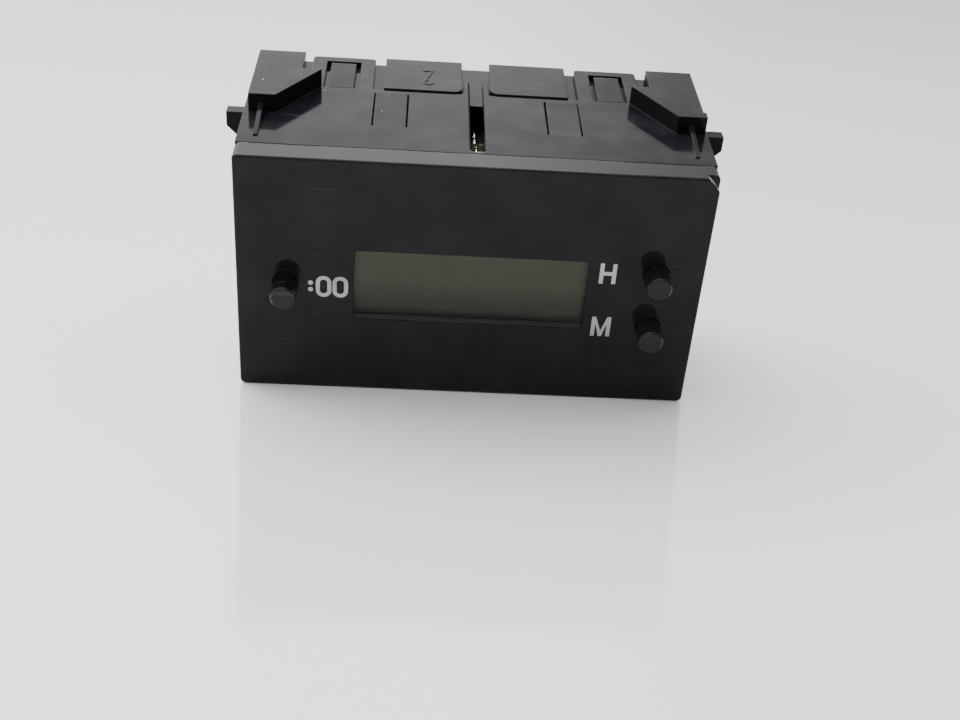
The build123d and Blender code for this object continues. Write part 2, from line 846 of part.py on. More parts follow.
def make_colon_zeros(x, z):
    """Printed colon and two zeros."""
    prints = []
    for dot in (-1, 1):
        prints.append(rod(x, z + dot * 0.76, -print_depth, 0, 1.0))
    for i in range(2):
        centre = x + 2.56 + i * (zero_width + zero_gap)
        ring = panel(zero_width, zero_height, -print_depth, 0, z, zero_width / 2 - 0.05, centre)
        width, height = zero_width - 2 * print_stroke, zero_height - 2 * print_stroke
        prints.append(ring - panel(width, height, -1, 1, z, width / 2 - 0.05, centre))
    return Compound(children=prints)


def make_pieces():
    """Every piece of the clock, by name."""
    pieces = {
        "face_cover": make_face_cover(),
        "window_lens": make_window_lens(),
        "light_seal": make_light_seal(),
        "front_polariser": panel(window_width, window_height, glass_front - polariser_thickness,
                                 glass_front, window_z),
        "front_glass": panel(window_width + 2 * glass_margin, window_height + 2 * contact_ledge,
                             glass_front, glass_mid, window_z),
        "rear_glass": panel(window_width + 2 * glass_margin, window_height + 0.8, glass_mid, glass_back,
                            window_z),
        "rear_polariser": panel(window_width, window_height, glass_back, diffuser_front, window_z),
        "diffuser": panel(window_width + 1.6, window_height + 0.6, diffuser_front, diffuser_back, window_z),
        "display_frame": make_display_frame(),
        "display_board": make_display_board(),
        "clock_chip": make_chip(),
        "chip_leads": make_chip_leads(),
        "crystal": make_crystal(),
        "header_block": make_header_block(),
        "header_pins": make_header_pins(),
        "power_board": make_power_board(),
        "socket_housing": make_socket_housing(),
        "socket_contacts": make_socket_contacts(),
        "smoothing_capacitor": make_capacitor(),
        "voltage_regulator": make_regulator(),
        "choke_core": make_choke_core(),
        "choke_winding": make_choke_winding(),
        "board_screws": make_screws(boss_places, board_back, 5.5),
        "main_case": make_main_case(),
        "rear_cover": make_rear_cover(),
        "print_hour": make_letter_h(half_width - print_inset, buttons["hour"][1] - print_drop),
        "print_minute": make_letter_m(half_width - print_inset, buttons["minute"][1] - print_drop),
        "print_colon_zeros": make_colon_zeros(zero_print_inset - half_width, buttons["zero"][1] - print_drop),
    }
    strip_offset = (window_height + 2 * contact_ledge - strip_thickness) / 2
    for name, side in (("lower", -1), ("upper", 1)):
        pieces[f"contact_strip_{name}"] = panel(
            window_width - 2, strip_thickness, glass_mid, board_front, window_z + side * strip_offset)
    for name, x in zip(("left", "right"), lamp_places):
        pieces[f"lamp_holder_{name}"] = make_lamp_holder(x)
        pieces[f"lamp_bulb_{name}"] = make_bulb(x)
    for name, (x, z) in buttons.items():
        pieces[f"button_{name}"] = make_button(x, z)
        pieces[f"switch_plunger_{name}"] = make_plunger(x, z)
        pieces[f"switch_body_{name}"] = make_switch_body(x, z)
    for i, y in enumerate(diode_rows):
        pieces[f"diode_{i + 1}"] = make_axial(diode_x, y, 5.0, 2.7, 10.0)
    resistors = [make_axial(resistor_x, y, 6.3, 2.3, 10.2) for y in resistor_rows]
    pieces["resistors"] = Compound(children=resistors)
    return pieces


for piece_name, piece in make_pieces().items():
    save(piece_name, piece)
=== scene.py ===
"""Looks of a dashboard clock module: finishes, small details, stage, light and camera.

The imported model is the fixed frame. Every size here is in metres, in that frame: x to the right
across the face, y from the face to the rear, z up the face.
"""

import logging
import math
from dataclasses import dataclass, field
from enum import Enum
from typing import Callable, Optional, Sequence

import bpy
from mathutils import Matrix, Vector


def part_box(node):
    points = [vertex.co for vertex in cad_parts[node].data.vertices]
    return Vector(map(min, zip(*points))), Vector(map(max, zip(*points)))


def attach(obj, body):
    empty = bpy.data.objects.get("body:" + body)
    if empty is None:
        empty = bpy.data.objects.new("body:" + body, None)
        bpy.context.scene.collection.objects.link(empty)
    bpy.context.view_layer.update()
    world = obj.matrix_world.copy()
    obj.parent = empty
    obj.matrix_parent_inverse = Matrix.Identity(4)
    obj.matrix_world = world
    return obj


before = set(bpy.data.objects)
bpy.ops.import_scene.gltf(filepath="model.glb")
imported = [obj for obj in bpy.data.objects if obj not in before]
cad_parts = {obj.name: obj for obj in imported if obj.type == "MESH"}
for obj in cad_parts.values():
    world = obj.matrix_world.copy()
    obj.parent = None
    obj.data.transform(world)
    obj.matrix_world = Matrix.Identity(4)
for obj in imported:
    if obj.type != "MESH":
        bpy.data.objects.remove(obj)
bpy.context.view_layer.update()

logging.basicConfig(level=logging.INFO, format="%(levelname)s %(name)s: %(message)s")
LOG = logging.getLogger("clock")

MM = 0.001
Colour = tuple[float, float, float]
Point = tuple[float, float, float]
WIRE: Colour = (0.6, 0.6, 0.58)


class Body(Enum):
    """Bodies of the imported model."""

    CLOCK = "clock"
    ZERO = "zero_button"
    HOUR = "hour_button"
    MINUTE = "minute_button"


class Stock(Enum):
    """Material slots of the record; no piece in this script takes its finish from them."""

    TINNED = "tinned_metal"
    PRINT = "print_ink"
    CASE = "case_plastic"


# ---------------------------------------------------------------- modelling helpers


def clear_selection() -> None:
    """Deselects every object."""
    bpy.ops.object.select_all(action="DESELECT")


def pick(*objects: bpy.types.Object) -> None:
    """Selects only these objects and makes the first one active."""
    clear_selection()
    for item in objects:
        item.select_set(True)
    bpy.context.view_layer.objects.active = objects[0]


def select_faces(piece: bpy.types.Object, test: Callable[[bpy.types.MeshPolygon], bool]) -> None:
    """Selects the faces of a piece, in object mode, whose polygon passes a test."""
    mesh = piece.data
    for vertex in mesh.vertices:
        vertex.select = False
    for edge in mesh.edges:
        edge.select = False
    for polygon in mesh.polygons:
        polygon.select = test(polygon)


def edit(piece: bpy.types.Object, *steps: Callable[[], object]) -> None:
    """Makes the calls of steps in order on a piece in edit mode, with faces as the selection mode."""
    pick(piece)
    bpy.ops.object.mode_set(mode="EDIT")
    bpy.ops.mesh.select_mode(type="FACE")
    for step in steps:
        step()
    bpy.ops.object.mode_set(mode="OBJECT")


def copies(piece: bpy.types.Object, places: Sequence[Point]) -> bpy.types.Object:
    """Copies a piece from the origin to each place, uses it up, and gives the copies as one mesh."""
    made = []
    for place in places:
        pick(piece)
        bpy.ops.object.duplicate()
        twin = bpy.context.view_layer.objects.active
        twin.data.transform(Matrix.Translation(Vector(place)))
        made.append(twin)
    pick(piece)
    bpy.ops.object.delete()
    pick(*made)
    if len(made) > 1:
        bpy.ops.object.join()
    return bpy.context.view_layer.objects.active


def settle(piece: bpy.types.Object, name: str, body: Body) -> bpy.types.Object:
    """Names a finished piece, puts its place into its mesh and hands it to the frame on its body."""
    pick(piece)
    bpy.ops.object.transform_apply(location=True, rotation=True, scale=True)
    piece.name = name
    piece.data.name = name
    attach(piece, body.value)
    LOG.info("piece %s: %d faces, rides on %s", name, len(piece.data.polygons), body.value)
    return piece


def dress(piece: bpy.types.Object, finish: "Finish") -> None:
    """Gives a piece one finish."""
    material = finish.material()
    if not piece.material_slots:
        piece.data.materials.append(material)
    for slot in piece.material_slots:
        slot.material = material


def dress_nodes(finish: "Finish", *names: str) -> None:
    """Gives the CAD nodes with these names one finish."""
    for name in names:
        dress(bpy.data.objects[name], finish)
        LOG.info("node %s: %s", name, finish.name)


# ---------------------------------------------------------------- shader helpers


class Graph:
    """A node tree with short calls that add nodes and link them."""

    def __init__(self, tree: bpy.types.NodeTree) -> None:
        """Keeps the tree that the nodes are added to."""
        self.tree = tree

    def add(self, kind: str, values: Optional[dict] = None, **settings: object) -> bpy.types.Node:
        """Adds a node.

        Args:
            kind: Blender's type name, without its ShaderNode prefix.
            values: Socket name or index to a number, a colour or another node's socket.
            settings: Properties of the node itself.

        Returns:
            The node.
        """
        node = self.tree.nodes.new("ShaderNode" + kind)
        for key, value in settings.items():
            setattr(node, key, value)
        for key, value in (values or {}).items():
            self.feed(node.inputs[key], value)
        return node

    def feed(self, socket: bpy.types.NodeSocket, value: object) -> None:
        """Links another node's socket to an input, or sets the input to a number or a colour."""
        if isinstance(value, bpy.types.NodeSocket):
            self.tree.links.new(value, socket)
        else:
            socket.default_value = value

    def place(self) -> bpy.types.NodeSocket:
        """Adds the object coordinates."""
        return self.add("TexCoord").outputs["Object"]

    def normal(self) -> bpy.types.NodeSocket:
        """Adds the true normal."""
        return self.add("NewGeometry").outputs["Normal"]

    def axis(self, vector: bpy.types.NodeSocket, name: str) -> bpy.types.NodeSocket:
        """Gives one axis, X, Y or Z, of a vector."""
        return self.add("SeparateXYZ", {0: vector}).outputs[name]

    def math(self, operation: str, first: object, second: object = 0.0,
             clamp: bool = False) -> bpy.types.NodeSocket:
        """Adds a math node on two numbers or sockets and gives its result."""
        node = self.add("Math", {0: first, 1: second}, operation=operation, use_clamp=clamp)
        return node.outputs[0]

    def noise(self, vector: bpy.types.NodeSocket, scale: float, detail: float = 2.0) -> bpy.types.NodeSocket:
        """Adds a noise texture with so many cells per metre and octaves."""
        node = self.add("TexNoise", {"Vector": vector, "Scale": scale, "Detail": detail})
        return node.outputs["Fac"]

    def ramp(self, value: bpy.types.NodeSocket, low: float, high: float) -> bpy.types.NodeSocket:
        """Maps a value from low..high to 0..1, kept within it."""
        node = self.add("MapRange", {"Value": value, "From Min": low, "From Max": high}, clamp=True)
        return node.outputs[0]

    def along(self, vector: object, way: object) -> bpy.types.NodeSocket:
        """Gives how far a vector points along another one."""
        node = self.add("VectorMath", {0: vector, 1: way}, operation="DOT_PRODUCT")
        return node.outputs["Value"]

    def mix(self, factor: object, first: object, second: object) -> bpy.types.NodeSocket:
        """Mixes two colours or sockets, the first at 0 and the second at 1."""
        node = self.add("Mix", data_type="RGBA")
        self.feed(node.inputs[0], factor)
        for index, value in ((6, first), (7, second)):
            self.feed(node.inputs[index], value if isinstance(value, bpy.types.NodeSocket) else (*value, 1.0))
        return node.outputs[2]

    def group(self, tree: bpy.types.NodeTree, values: dict) -> bpy.types.Node:
        """Adds a shared group with its inputs set to numbers or sockets."""
        node = self.add("Group")
        node.node_tree = tree
        for key, value in values.items():
            self.feed(node.inputs[key], value)
        return node


def new_group(name: str, inputs: dict[str, float], outputs: dict[str, str]) -> tuple[Graph, dict, dict]:
    """Makes an empty shared group with its sockets.

    Args:
        name: Name of the group.
        inputs: Input name to its default number.
        outputs: Output name to the end of its socket type, such as Float or Vector.

    Returns:
        The graph, its input sockets by name, and its output sockets by name.
    """
    tree = bpy.data.node_groups.new(name, "ShaderNodeTree")
    for key, value in inputs.items():
        socket = tree.interface.new_socket(key, in_out="INPUT", socket_type="NodeSocketFloat")
        socket.default_value = value
    for key, kind in outputs.items():
        tree.interface.new_socket(key, in_out="OUTPUT", socket_type="NodeSocket" + kind)
    enter = tree.nodes.new("NodeGroupInput")
    leave = tree.nodes.new("NodeGroupOutput")
    sources = {key: enter.outputs[key] for key in inputs}
    targets = {key: leave.inputs[key] for key in outputs}
    return Graph(tree), sources, targets


class SharedEffects:
    """Groups that several finishes use: grain, rounded edges that finishes paint lighter for wear and as a
    painted highlight, dust and scuffs.
    """

    def __init__(self) -> None:
        """Builds every group once."""
        self.grain = self._grain()
        self.edges = self._edges()
        self.dust = self._dust()
        self.scuffs = self._scuffs()

    @staticmethod
    def _grain() -> bpy.types.NodeTree:
        """Fine moulded grain as a height, with a slow waviness under it."""
        graph, sources, targets = new_group(
            "moulded_grain", {"Cells": 4000.0, "Wave": 0.35}, {"Height": "Float", "Patch": "Float"}
        )
        place = graph.place()
        fine = graph.add("TexNoise", {"Vector": place, "Scale": sources["Cells"], "Detail": 3.0})
        slow = graph.noise(place, 90.0, 3.0)
        wave = graph.math("MULTIPLY", slow, sources["Wave"])
        height = graph.math("ADD", fine.outputs["Fac"], wave)
        graph.feed(targets["Height"], height)
        graph.feed(targets["Patch"], slow)
        return graph.tree

    @staticmethod
    def _edges() -> bpy.types.NodeTree:
        """Rounded edges as a normal, and how much of an edge a point is."""
        graph, sources, targets = new_group(
            "rounded_edges", {"Radius": 0.0003}, {"Normal": "Vector", "Edge": "Float"}
        )
        bevel = graph.add("Bevel", {"Radius": sources["Radius"]}, samples=6)
        true = graph.normal()
        edge = graph.math("SUBTRACT", 1.0, graph.along(bevel.outputs[0], true), clamp=True)
        graph.feed(targets["Normal"], bevel.outputs[0])
        graph.feed(targets["Edge"], graph.ramp(edge, 0.02, 0.25))
        return graph.tree

    @staticmethod
    def _dust() -> bpy.types.NodeTree:
        """Dust that settles on faces that look up, and single specks."""
        graph, sources, targets = new_group(
            "settled_dust", {"Amount": 0.3}, {"Film": "Float", "Specks": "Float"}
        )
        place = graph.place()
        normal = graph.normal()
        up = graph.axis(normal, "Z")
        facing = graph.ramp(up, 0.2, 0.95)
        cloud = graph.ramp(graph.noise(place, 160.0, 5.0), 0.42, 0.72)
        film = graph.math("MULTIPLY", graph.math("MULTIPLY", facing, cloud), sources["Amount"])
        cells = graph.add("TexVoronoi", {"Vector": place, "Scale": 420.0, "Randomness": 1.0})
        near = graph.ramp(cells.outputs["Distance"], 0.075, 0.045)
        chosen = graph.add("SeparateColor", {0: cells.outputs["Color"]}).outputs[0]
        rare = graph.math("LESS_THAN", chosen, graph.math("MULTIPLY", sources["Amount"], 0.35))
        specks = graph.math("MULTIPLY", near, rare)
        graph.feed(targets["Film"], film)
        graph.feed(targets["Specks"], specks)
        return graph.tree

    @staticmethod
    def _scuffs() -> bpy.types.NodeTree:
        """Fine scratches in two directions, as a mask."""
        graph, sources, targets = new_group("fine_scuffs", {"Amount": 0.5}, {"Mask": "Float"})
        place = graph.place()
        masks = []
        for turn, stretch in ((0.5, 14.0), (-0.9, 22.0)):
            mapped = graph.add(
                "Mapping",
                {"Vector": place, "Rotation": (turn, turn, turn), "Scale": (1.0, stretch, stretch)},
            )
            lines = graph.noise(mapped.outputs[0], 60.0, 2.0)
            masks.append(graph.ramp(lines, 0.66, 0.72))
        both = graph.math("MAXIMUM", masks[0], masks[1])
        gate = graph.ramp(graph.noise(place, 45.0, 1.0), 0.5, 0.62)
        mask = graph.math("MULTIPLY", graph.math("MULTIPLY", both, gate), sources["Amount"])
        graph.feed(targets["Mask"], mask)
        return graph.tree


EFFECTS = SharedEffects()


# ---------------------------------------------------------------- finishes


class Finish:
    """A finish that builds its material once and gives the same one again."""

    name: str

    def material(self) -> bpy.types.Material:
        """Finds or builds the material."""
        found = bpy.data.materials.get(self.name)
        if found is None:
            found = bpy.data.materials.new(self.name)
            found.use_nodes = True
            found.node_tree.nodes.clear()
            self.build(Graph(found.node_tree))
        return found

    def build(self, graph: Graph) -> None:
        """Adds the material's nodes.

        Args:
            graph: The material's empty tree.
        """
        raise NotImplementedError

    @staticmethod
    def surface(graph: Graph, values: dict) -> bpy.types.Node:
        """Adds the shader with these inputs and the material output, and gives the shader."""
        shader = graph.add("BsdfPrincipled", values)
        graph.add("OutputMaterial", {"Surface": shader.outputs[0]})
        return shader


@dataclass(frozen=True)
class MouldedPlastic(Finish):
    """Moulded plastic with grain, rounded edges, dust and scuffs.

    Attributes:
        name: Material name.
        colour: Base colour.
        roughness: Roughness between scuffs.
        specular: Specular level of the shader.
        grain_depth: Height of the moulded grain.
        grain_cells: Grain cells per metre.
        edge_radius: Radius that edges show.
        edge_wear_and_highlight: How much lighter the edges are painted, for wear and as a painted highlight.
        dust: Amount of dust on faces that look up.
        scuff: Amount of fine scratches.
        dust_colour: Colour of the dust.
        patch: How much the colour changes slowly over the surface.
    """

    name: str
    colour: Colour
    roughness: float = 0.35
    specular: float = 0.5
    grain_depth: float = 0.00001
    grain_cells: float = 4000.0
    edge_radius: float = 0.0003
    edge_wear_and_highlight: float = 0.03
    dust: float = 0.1
    scuff: float = 0.2
    dust_colour: Colour = (0.42, 0.40, 0.38)
    patch: float = 0.15

    def tint(self, graph: Graph, base: bpy.types.NodeSocket) -> bpy.types.NodeSocket:
        """Gives the colour with local marks; the plain plastic has none."""
        return base

    def build(self, graph: Graph) -> None:
        """Adds the plastic's nodes."""
        grain = graph.group(EFFECTS.grain, {"Cells": self.grain_cells})
        edges = graph.group(EFFECTS.edges, {"Radius": self.edge_radius})
        dust = graph.group(EFFECTS.dust, {"Amount": self.dust})
        scuffs = graph.group(EFFECTS.scuffs, {"Amount": self.scuff})
        light = tuple(min(1.0, c * (1 + self.patch) + self.patch * 0.01) for c in self.colour)
        dark = tuple(c * (1 - self.patch) for c in self.colour)
        base = graph.mix(graph.ramp(grain.outputs["Patch"], 0.35, 0.65), dark, light)
        base = self.tint(graph, base)
        # Edges are painted lighter: partly wear, partly a painted highlight along the rounding.
        wear_and_highlight_edge_colour = tuple(min(1.0, c + self.edge_wear_and_highlight) for c in self.colour)
        base = graph.mix(edges.outputs["Edge"], base, wear_and_highlight_edge_colour)
        worn = graph.math("MULTIPLY", scuffs.outputs["Mask"], 0.25)
        base = graph.mix(worn, base, self.dust_colour)
        film = graph.math("MULTIPLY", dust.outputs["Film"], 0.35)
        base = graph.mix(film, base, self.dust_colour)
        base = graph.mix(dust.outputs["Specks"], base, (0.62, 0.60, 0.56))
        rough = graph.math("ADD", graph.math("MULTIPLY", scuffs.outputs["Mask"], 0.25), self.roughness)
        rough = graph.math("ADD", rough, graph.math("MULTIPLY", dust.outputs["Film"], 0.3), clamp=True)
        bump = graph.add(
            "Bump",
            {
                "Height": grain.outputs["Height"],
                "Distance": self.grain_depth,
                "Normal": edges.outputs["Normal"],
            },
        )
        self.surface(
            graph,
            {
                "Base Color": base,
                "Roughness": rough,
                "Specular IOR Level": self.specular,
                "Normal": bump.outputs[0],
            },
        )


@dataclass(frozen=True)
class FaceCoverPlastic(MouldedPlastic):
    """Plastic of the face cover, with its broken top right corner.

    Attributes:
        corner: Where the corner would be.
        reach: How far the break goes from it.
    """

    corner: Point = (0.0, 0.0, 0.0)
    reach: float = 0.0030

    def tint(self, graph: Graph, base: bpy.types.NodeSocket) -> bpy.types.NodeSocket:
        """Lightens the rough surface of the broken corner."""
        place = graph.place()
        away = graph.add("VectorMath", {0: place, 1: self.corner}, operation="DISTANCE").outputs["Value"]
        near = graph.ramp(away, self.reach * 0.98, self.reach * 0.86)
        normal = graph.normal()
        broken = graph.ramp(graph.along(normal, (0.70, 0.0, 0.70)), 0.86, 0.93)
        flakes = graph.ramp(graph.noise(place, 1500.0, 3.0), 0.40, 0.60)
        mask = graph.math("MULTIPLY", graph.math("MULTIPLY", near, broken), flakes)
        return graph.mix(mask, base, (0.55, 0.55, 0.54))


@dataclass(frozen=True)
class ClearPlastic(Finish):
    """Clear or smoked plastic or glass that shows what lies behind it.

    Attributes:
        name: Material name.
        colour: Colour of the light that passes.
        roughness: Roughness of the surface.
        index: Refractive index that sets its mirror.
        haze: How much of it is opaque film.
        film: Colour of that film.
    """

    name: str
    colour: Colour
    roughness: float = 0.06
    index: float = 1.5
    haze: float = 0.1
    film: Colour = (0.03, 0.03, 0.03)

    def build(self, graph: Graph) -> None:
        """Adds the clear plastic's nodes."""
        place = graph.place()
        smear = graph.ramp(graph.noise(place, 130.0, 4.0), 0.45, 0.75)
        rough = graph.math("ADD", graph.math("MULTIPLY", smear, 0.08), self.roughness)
        clear = graph.add("BsdfTransparent", {"Color": (*self.colour, 1.0)})
        gloss = graph.add("BsdfGlossy", {"Roughness": rough})
        film = graph.add("BsdfDiffuse", {"Color": (*self.film, 1.0)})
        body = graph.add("MixShader", {0: self.haze, 1: clear.outputs[0], 2: film.outputs[0]})
        fresnel = graph.add("Fresnel", {"IOR": self.index})
        whole = graph.add("MixShader", {0: fresnel.outputs[0], 1: body.outputs[0], 2: gloss.outputs[0]})
        graph.add("OutputMaterial", {"Surface": whole.outputs[0]})


@dataclass(frozen=True)
class DisplayFilmWithPaintedShade(Finish):
    """Polariser of the unlit display: olive grey, with painted shade that darkens its lower third.

    Attributes:
        name: Material name.
        upper: Colour of the upper part.
        lower: Colour of the painted shade along the lower edge.
        low: Height of the lower edge.
        high: Height of the upper edge.
    """

    name: str
    upper: Colour
    lower: Colour
    low: float
    high: float

    def build(self, graph: Graph) -> None:
        """Adds the film's nodes, with the painted shade along its lower third."""
        place = graph.place()
        height = graph.axis(place, "Z")
        span = self.high - self.low
        # Painted shade: the colour goes from the shade colour at the lower edge to the film's own colour
        # higher up.
        painted_shade_fade = graph.ramp(height, self.low + 0.18 * span, self.low + 0.50 * span)
        cloud = graph.noise(place, 70.0, 2.0)
        cloudy = graph.math("MULTIPLY", painted_shade_fade, graph.math("ADD", graph.math("MULTIPLY", cloud, 0.3), 0.85))
        colour = graph.mix(cloudy, self.lower, self.upper)
        streaks = graph.add("TexWave", {"Vector": place, "Scale": 900.0, "Distortion": 0.4},
                            bands_direction="Z")
        faint = graph.math("MULTIPLY", streaks.outputs["Fac"], 0.05)
        colour = graph.mix(faint, colour, (0.14, 0.14, 0.13))
        rough = graph.math("ADD", graph.math("MULTIPLY", cloud, 0.08), 0.28)
        self.surface(graph, {"Base Color": colour, "Roughness": rough, "Specular IOR Level": 0.35})


@dataclass(frozen=True)
class CircuitBoard(Finish):
    """Green board with tracks and pads under the solder mask, and a bare laminate edge.

    Attributes:
        name: Material name.
        mask_colour: Colour of the solder mask.
        edge_axis: Axis across the board's thickness, X, Y or Z.
    """

    name: str
    mask_colour: Colour
    edge_axis: str

    def build(self, graph: Graph) -> None:
        """Adds the board's nodes."""
        place = graph.place()
        cells = graph.add("TexVoronoi", {"Vector": place, "Scale": 230.0, "Randomness": 0.35},
                          distance="CHEBYCHEV", feature="F2")
        tracks = graph.ramp(cells.outputs["Distance"], 0.62, 0.66)
        pads = graph.add("TexVoronoi", {"Vector": place, "Scale": 330.0, "Randomness": 0.6})
        pad = graph.ramp(pads.outputs["Distance"], 0.20, 0.16)
        weave = graph.noise(place, 2600.0, 1.0)
        mask = tuple(c * 1.9 for c in self.mask_colour)
        colour = graph.mix(tracks, self.mask_colour, mask)
        colour = graph.mix(graph.math("MULTIPLY", weave, 0.25), colour, (0.02, 0.05, 0.02))
        colour = graph.mix(pad, colour, (0.55, 0.53, 0.50))
        normal = graph.normal()
        across = graph.axis(normal, self.edge_axis)
        bare = graph.ramp(graph.math("ABSOLUTE", across), 0.6, 0.4)
        colour = graph.mix(bare, colour, (0.30, 0.26, 0.14))
        rough = graph.math("SUBTRACT", 0.42, graph.math("MULTIPLY", pad, 0.2))
        bump = graph.add("Bump", {"Height": tracks, "Distance": 0.00003})
        self.surface(
            graph,
            {
                "Base Color": colour,
                "Roughness": rough,
                "Metallic": graph.math("MULTIPLY", pad, 0.7),
                "Normal": bump.outputs[0],
            },
        )


@dataclass(frozen=True)
class PlainMetal(Finish):
    """Tinned, plated or drawn metal with a slow change of tone and fine lines.

    Attributes:
        name: Material name.
        colour: Colour of the metal.
        roughness: Middle roughness.
        tarnish: Colour of its dull patches.
    """

    name: str
    colour: Colour
    roughness: float = 0.3
    tarnish: Colour = (0.32, 0.30, 0.26)

    def build(self, graph: Graph) -> None:
        """Adds the metal's nodes."""
        place = graph.place()
        dull = graph.ramp(graph.noise(place, 500.0, 4.0), 0.48, 0.72)
        colour = graph.mix(graph.math("MULTIPLY", dull, 0.6), self.colour, self.tarnish)
        rough = graph.math("ADD", graph.math("MULTIPLY", dull, 0.25), self.roughness)
        fine = graph.add("Mapping", {"Vector": place, "Scale": (1.0, 1.0, 30.0)})
        bump = graph.add("Bump", {"Height": graph.noise(fine.outputs[0], 900.0), "Distance": 0.00001})
        self.surface(
            graph,
            {"Base Color": colour, "Roughness": rough, "Metallic": 1.0, "Normal": bump.outputs[0]},
        )


@dataclass(frozen=True)
class BandedBody(Finish):
    """Component body with coloured bands across one axis.

    Attributes:
        name: Material name.
        body: Colour of the body.
        bands: Places along the axis from the middle, with the colour of each band.
        axis: Axis that the bands cross.
        middle: Middle of the component along that axis.
        width: Width of a band.
        roughness: Roughness of the lacquer.
    """

    name: str
    body: Colour
    bands: tuple[tuple[float, Colour], ...]
    axis: str
    middle: float
    width: float = 0.0006
    roughness: float = 0.3

    def build(self, graph: Graph) -> None:
        """Adds the body's nodes."""
        place = graph.place()
        along = graph.axis(place, self.axis)
        cloud = graph.noise(place, 700.0, 3.0)
        shade = tuple(c * 0.8 for c in self.body)
        colour = graph.mix(cloud, shade, self.body)
        for where, paint in self.bands:
            offset = graph.math("ABSOLUTE", graph.math("SUBTRACT", along, self.middle + where))
            band = graph.math("LESS_THAN", offset, self.width / 2)
            colour = graph.mix(band, colour, paint)
        rough = graph.math("ADD", graph.math("MULTIPLY", cloud, 0.15), self.roughness)
        bump = graph.add("Bump", {"Height": cloud, "Distance": 0.00002})
        self.surface(graph, {"Base Color": colour, "Roughness": rough, "Normal": bump.outputs[0]})


@dataclass(frozen=True)
class FloorPaint(Finish):
    """Pale sealed table top; from below it lets the camera through.

    Attributes:
        name: Material name.
        colour: Colour of the table.
        roughness: Roughness of its seal.
    """

    name: str
    colour: Colour
    roughness: float

    def build(self, graph: Graph) -> None:
        """Adds the table's nodes."""
        place = graph.place()
        cloud = graph.ramp(graph.noise(place, 3.0, 3.0), 0.3, 0.7)
        warm = graph.mix(cloud, tuple(c * 0.985 for c in self.colour), self.colour)
        rough = graph.math("ADD", graph.math("MULTIPLY", graph.noise(place, 40.0), 0.04), self.roughness)
        shader = graph.add("BsdfPrincipled", {"Base Color": warm, "Roughness": rough,
                                              "Specular IOR Level": 0.9})
        clear = graph.add("BsdfTransparent")
        back = graph.add("NewGeometry").outputs["Backfacing"]
        camera = graph.add("LightPath").outputs["Is Camera Ray"]
        through = graph.math("MULTIPLY", back, camera)
        whole = graph.add("MixShader", {0: through, 1: shader.outputs[0], 2: clear.outputs[0]})
        graph.add("OutputMaterial", {"Surface": whole.outputs[0]})


# ---------------------------------------------------------------- sub-assemblies


def low(node: str) -> Vector:
    """Lowest corner of a CAD node at rest."""
    return Vector(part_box(node)[0])


def high(node: str) -> Vector:
    """Highest corner of a CAD node at rest."""
    return Vector(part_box(node)[1])


def centre(node: str) -> Vector:
    """Middle of a CAD node at rest."""
    return (low(node) + high(node)) / 2


@dataclass
class Housing:
    """Face cover, case and rear cover, with the marks that moulding leaves on the rear.

    Attributes:
        face_colour: Colour of the polished face cover.
        case_colour: Colour of the glossy case and rear cover.
        ring_radius: Outer radius of an ejector mark.
        ring_height: How far its rim stands proud.
        ring_inset: Ejector marks from the sides of the rear cover.
    """

    face_colour: Colour = (0.0082, 0.0094, 0.0106)
    case_colour: Colour = (0.0062, 0.0060, 0.0082)
    ring_radius: float = 2.4 * MM
    ring_height: float = 0.10 * MM
    ring_inset: float = 7.0 * MM

    def case_finish(self) -> MouldedPlastic:
        """Finish of the case, the rear cover and the marks on it."""
        return MouldedPlastic(
            "satin_case", self.case_colour, roughness=0.10, specular=0.052, grain_depth=0.0000004,
            edge_wear_and_highlight=0.02, dust=0.08, scuff=0.12,
        )

    def dress(self) -> None:
        """Dresses the three shells."""
        corner = Vector((high("face_cover").x, low("face_cover").y, high("face_cover").z))
        face = FaceCoverPlastic(
            "polished_face", self.face_colour, roughness=0.06, specular=0.12, grain_depth=0.0000004,
            grain_cells=900.0, edge_wear_and_highlight=0.012, dust=0.0, scuff=0.08, corner=tuple(corner),
        )
        dress_nodes(face, "face_cover")
        dress_nodes(self.case_finish(), "main_case", "rear_cover")

    def build_ejector_marks(self) -> bpy.types.Object:
        """Models the rings that ejector pins leave on the back of the rear cover."""
        clear_selection()
        bpy.ops.mesh.primitive_cylinder_add(
            vertices=32, radius=self.ring_radius, depth=2 * self.ring_height,
            location=(0, 0, 0), rotation=(math.pi / 2, 0, 0),
        )
        ring = bpy.context.active_object
        bpy.ops.object.transform_apply(rotation=True)
        select_faces(ring, lambda polygon: polygon.normal.y > 0.9)
        edit(
            ring,
            lambda: bpy.ops.mesh.inset(thickness=0.25 * MM),
            lambda: bpy.ops.mesh.inset(thickness=0.15 * MM, depth=-0.8 * self.ring_height),
        )
        back = high("rear_cover").y
        left, right = low("rear_cover").x + self.ring_inset, high("rear_cover").x - self.ring_inset
        bottom = low("main_case").z + self.ring_inset
        middle = centre("socket_housing").z
        places = [(x, back, z) for x in (left, right) for z in (bottom, middle)]
        places.append((0.0, back, bottom))
        rings = copies(ring, places)
        bpy.ops.object.shade_smooth_by_angle(angle=math.radians(40))
        piece = settle(rings, "ejector_marks", Body.CLOCK)
        dress(piece, self.case_finish())
        return piece


